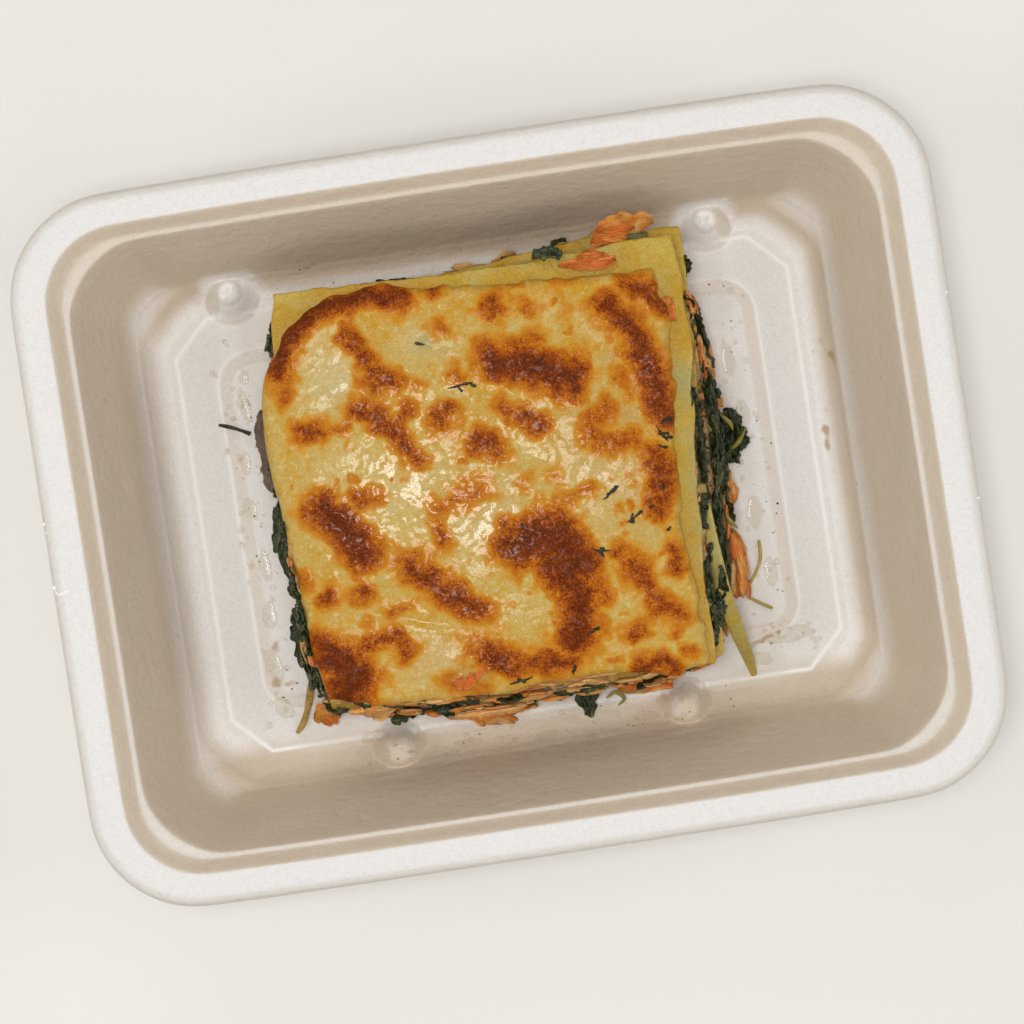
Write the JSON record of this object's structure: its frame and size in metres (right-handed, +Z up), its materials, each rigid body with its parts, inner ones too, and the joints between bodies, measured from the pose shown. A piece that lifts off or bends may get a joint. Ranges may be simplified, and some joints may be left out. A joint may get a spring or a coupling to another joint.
{
  "type": "lasagna portion in a meal tray",
  "caption": "Baked salmon and spinach lasagna portion with browned cheese, lying in an open rectangular meal tray of moulded pulp with a turned-down rim.",
  "frame": {"origin": "on the surface the tray stands on, under the middle of the tray", "axes": "+X along the tray's long side, +Y along its short side towards the food's back edge, +Z up out of the tray"},
  "size_m": [0.227, 0.177, 0.05],
  "materials": {
    "pulp": "matt moulded pulp, off-white, with fine fibres",
    "pasta": "boiled and baked pasta, moist and slightly translucent",
    "filling": "salmon, spinach and white sauce pressed together, moist",
    "cheese": "melted cheese with browned patches and an oily shine",
    "salmon": "cooked salmon, flaky and moist",
    "fish_skin": "cooked fish skin, dark grey-brown",
    "spinach": "wilted spinach, dark green and wet"
  },
  "bodies": {
    "root": {"tray": "pulp", "pasta_sheet_1": "pasta", "filling_1": "filling", "pasta_sheet_2": "pasta", "filling_2": "filling", "pasta_sheet_3": "pasta", "filling_3": "filling", "pasta_sheet_4": "pasta", "cheese_crust": "cheese", "salmon_skin_left": "fish_skin", "spinach_left_back": "spinach", "spinach_left_front": "spinach", "salmon_front_left_corner": "salmon", "salmon_front_middle": "salmon", "salmon_front_right": "salmon", "spinach_front_left": "spinach", "spinach_front_clump": "spinach", "salmon_right_upper": "salmon", "spinach_right_clump": "spinach", "salmon_right_middle": "salmon", "salmon_right_lower": "salmon", "salmon_front_left": "salmon", "salmon_front_strip": "salmon", "spinach_right_lower": "spinach", "pasta_strip_right": "pasta", "salmon_right_bit": "salmon", "spinach_right_upper": "spinach", "spinach_right_top": "spinach", "spinach_stem_back": "spinach", "salmon_back_high": "salmon", "salmon_back_low": "salmon", "spinach_back_leaf": "spinach", "salmon_right_top": "salmon", "spinach_front_right": "spinach", "herb_stem_left": "spinach", "spinach_stem_front_left": "spinach", "pasta_thread_upper": "pasta", "pasta_thread_lower": "pasta"}
  },
  "joints": []
}
